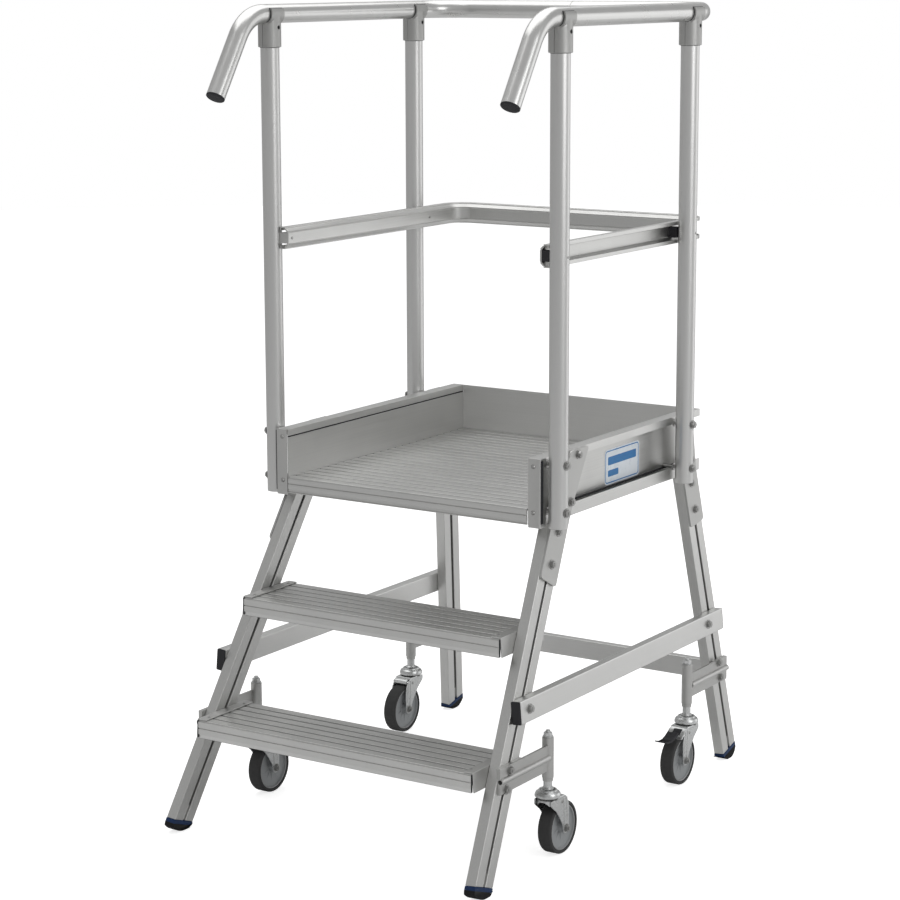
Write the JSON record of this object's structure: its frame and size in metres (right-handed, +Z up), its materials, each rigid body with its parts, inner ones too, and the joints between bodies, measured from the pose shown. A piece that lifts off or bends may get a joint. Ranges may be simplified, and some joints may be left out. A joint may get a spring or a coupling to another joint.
{
  "type": "rolling warehouse ladder",
  "caption": "Low aluminium platform ladder with ribbed treads, a railed standing deck, splayed legs with feet and sprung swivel casters.",
  "frame": {"origin": "middle of the ladder's footprint, on the floor that its feet stand on", "axes": "+X to the climber's right, +Y from the steps towards the rear of the platform, +Z up"},
  "size_m": [0.7978, 1.1354, 1.724],
  "materials": {
    "aluminium_extrusion": "mill finish, satin, drawn along the profile",
    "aluminium_tube": "drawn tube, satin to bright",
    "cast_aluminium": "die cast, fine matt grain",
    "zinc_plated_steel": "zinc plated",
    "foot_plastic": "matt black sole under a dark blue collar",
    "black_plastic": "matt moulded",
    "hub_plastic": "matt moulded, grey",
    "tyre_rubber": "matt black"
  },
  "bodies": {
    "ladder": {"leg_front_left": "aluminium_extrusion", "foot_front_left": "foot_plastic", "gusset_front_left": "aluminium_extrusion", "post_front_left": "aluminium_tube", "rail_clamp_front_left": "cast_aluminium", "caster_arm_front_left": "aluminium_extrusion", "leg_front_right": "aluminium_extrusion", "foot_front_right": "foot_plastic", "gusset_front_right": "aluminium_extrusion", "post_front_right": "aluminium_tube", "rail_clamp_front_right": "cast_aluminium", "caster_arm_front_right": "aluminium_extrusion", "leg_rear_left": "aluminium_extrusion", "foot_rear_left": "foot_plastic", "gusset_rear_left": "aluminium_extrusion", "post_rear_left": "aluminium_tube", "rail_clamp_rear_left": "cast_aluminium", "caster_arm_rear_left": "aluminium_extrusion", "leg_rear_right": "aluminium_extrusion", "foot_rear_right": "foot_plastic", "gusset_rear_right": "aluminium_extrusion", "post_rear_right": "aluminium_tube", "rail_clamp_rear_right": "cast_aluminium", "caster_arm_rear_right": "aluminium_extrusion", "side_beam_left": "aluminium_extrusion", "corner_angle_left": "aluminium_extrusion", "side_brace_left": "aluminium_extrusion", "handle_plug_left": "black_plastic", "tread_bracket_lower_left": "aluminium_extrusion", "tread_bracket_upper_left": "aluminium_extrusion", "side_beam_right": "aluminium_extrusion", "corner_angle_right": "aluminium_extrusion", "side_brace_right": "aluminium_extrusion", "handle_plug_right": "black_plastic", "tread_bracket_lower_right": "aluminium_extrusion", "tread_bracket_upper_right": "aluminium_extrusion", "platform_deck": "aluminium_extrusion", "rear_toe_board": "aluminium_extrusion", "tread_lower": "aluminium_extrusion", "tread_upper": "aluminium_extrusion", "knee_rail": "aluminium_extrusion", "rear_brace": "aluminium_extrusion", "top_rail": "aluminium_tube"},
    "stem_front_left": {"caster_stem_front_left": "zinc_plated_steel"},
    "fork_front_left": {"caster_fork_front_left": "zinc_plated_steel"},
    "wheel_front_left": {"wheel_hub_front_left": "hub_plastic", "wheel_tyre_front_left": "tyre_rubber"},
    "stem_front_right": {"caster_stem_front_right": "zinc_plated_steel"},
    "fork_front_right": {"caster_fork_front_right": "zinc_plated_steel"},
    "wheel_front_right": {"wheel_hub_front_right": "hub_plastic", "wheel_tyre_front_right": "tyre_rubber"},
    "stem_rear_left": {"caster_stem_rear_left": "zinc_plated_steel"},
    "fork_rear_left": {"caster_fork_rear_left": "zinc_plated_steel"},
    "wheel_rear_left": {"wheel_hub_rear_left": "hub_plastic", "wheel_tyre_rear_left": "tyre_rubber"},
    "stem_rear_right": {"caster_stem_rear_right": "zinc_plated_steel"},
    "fork_rear_right": {"caster_fork_rear_right": "zinc_plated_steel"},
    "wheel_rear_right": {"wheel_hub_rear_right": "hub_plastic", "wheel_tyre_rear_right": "tyre_rubber"},
    "pedal": {"brake_pedal": "black_plastic"}
  },
  "joints": [
    {"name": "spring_travel_front_left", "type": "slide", "parent": "ladder", "child": "stem_front_left", "axis": [0, 0, 1], "range_m": [0, 0.012], "stiffness_N_per_m": 1500, "springref_m": -0.012},
    {"name": "swivel_front_left", "type": "hinge", "parent": "stem_front_left", "child": "fork_front_left", "pos_m": [-0.37191, -0.26096, 0.138], "axis": [0, 0, 1], "continuous": true},
    {"name": "wheel_spin_front_left", "type": "hinge", "parent": "fork_front_left", "child": "wheel_front_left", "pos_m": [-0.37191, -0.22096, 0.0565], "axis": [1, 0, 0], "continuous": true},
    {"name": "spring_travel_front_right", "type": "slide", "parent": "ladder", "child": "stem_front_right", "axis": [0, 0, 1], "range_m": [0, 0.012], "stiffness_N_per_m": 1500, "springref_m": -0.012},
    {"name": "swivel_front_right", "type": "hinge", "parent": "stem_front_right", "child": "fork_front_right", "pos_m": [0.37191, -0.26096, 0.138], "axis": [0, 0, 1], "continuous": true},
    {"name": "wheel_spin_front_right", "type": "hinge", "parent": "fork_front_right", "child": "wheel_front_right", "pos_m": [0.37191, -0.22096, 0.0565], "axis": [1, 0, 0], "continuous": true},
    {"name": "spring_travel_rear_left", "type": "slide", "parent": "ladder", "child": "stem_rear_left", "axis": [0, 0, 1], "range_m": [0, 0.012], "stiffness_N_per_m": 1500, "springref_m": -0.012},
    {"name": "swivel_rear_left", "type": "hinge", "parent": "stem_rear_left", "child": "fork_rear_left", "pos_m": [-0.37191, 0.34899, 0.138], "axis": [0, 0, 1], "continuous": true},
    {"name": "wheel_spin_rear_left", "type": "hinge", "parent": "fork_rear_left", "child": "wheel_rear_left", "pos_m": [-0.37191, 0.30899, 0.0565], "axis": [1, 0, 0], "continuous": true},
    {"name": "spring_travel_rear_right", "type": "slide", "parent": "ladder", "child": "stem_rear_right", "axis": [0, 0, 1], "range_m": [0, 0.012], "stiffness_N_per_m": 1500, "springref_m": -0.012},
    {"name": "swivel_rear_right", "type": "hinge", "parent": "stem_rear_right", "child": "fork_rear_right", "pos_m": [0.37191, 0.34899, 0.138], "axis": [0, 0, 1], "continuous": true},
    {"name": "wheel_spin_rear_right", "type": "hinge", "parent": "fork_rear_right", "child": "wheel_rear_right", "pos_m": [0.37191, 0.30899, 0.0565], "axis": [1, 0, 0], "continuous": true},
    {"name": "brake_pedal_press", "type": "hinge", "parent": "fork_rear_right", "child": "pedal", "pos_m": [0.37191, 0.28349, 0.121], "axis": [1, 0, 0], "range_deg": [0, 14], "stiffness_Nm_per_rad": 0.5}
  ]
}
